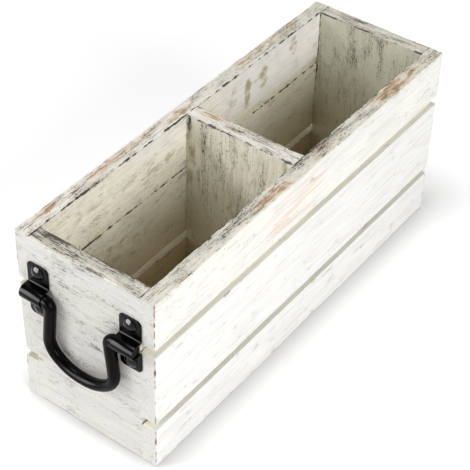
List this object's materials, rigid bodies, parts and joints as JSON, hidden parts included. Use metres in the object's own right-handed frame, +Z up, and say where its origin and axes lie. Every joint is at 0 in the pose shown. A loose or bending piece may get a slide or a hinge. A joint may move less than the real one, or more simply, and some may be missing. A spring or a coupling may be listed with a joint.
{
  "type": "cutlery caddy",
  "caption": "Long open wooden box with slatted sides, a cross divider and a hanging black metal bail handle on each end.",
  "frame": {"origin": "middle of the underside that the box stands on", "axes": "+X across the box to its right side, +Y along the box from the front handle to the back handle, +Z up"},
  "size_m": [0.125, 0.3988, 0.164],
  "materials": {
    "painted_wood": "whitewashed and rubbed back, with bare and dark patches along the edges",
    "black_metal": "black satin coat on steel",
    "nail_steel": "plain drawn steel"
  },
  "bodies": {
    "caddy": {"left_top_plank": "painted_wood", "left_middle_plank": "painted_wood", "left_bottom_plank": "painted_wood", "right_top_plank": "painted_wood", "right_middle_plank": "painted_wood", "right_bottom_plank": "painted_wood", "front_board": "painted_wood", "back_board": "painted_wood", "divider": "painted_wood", "floor_board": "painted_wood", "front_board_nails": "nail_steel", "back_board_nails": "nail_steel", "divider_nails": "nail_steel", "floor_nails": "nail_steel", "front_left_bracket": "black_metal", "front_right_bracket": "black_metal", "front_bracket_tacks": "black_metal", "back_left_bracket": "black_metal", "back_right_bracket": "black_metal", "back_bracket_tacks": "black_metal"},
    "front_bail": {"front_bail": "black_metal"},
    "back_bail": {"back_bail": "black_metal"}
  },
  "joints": [
    {"name": "front_bail_hinge", "type": "hinge", "parent": "caddy", "child": "front_bail", "pos_m": [0, -0.19355, 0.1172], "axis": [-1, 0, 0], "range_deg": [0, 180]},
    {"name": "back_bail_hinge", "type": "hinge", "parent": "caddy", "child": "back_bail", "pos_m": [0, 0.19355, 0.1172], "axis": [1, 0, 0], "range_deg": [0, 180]}
  ]
}
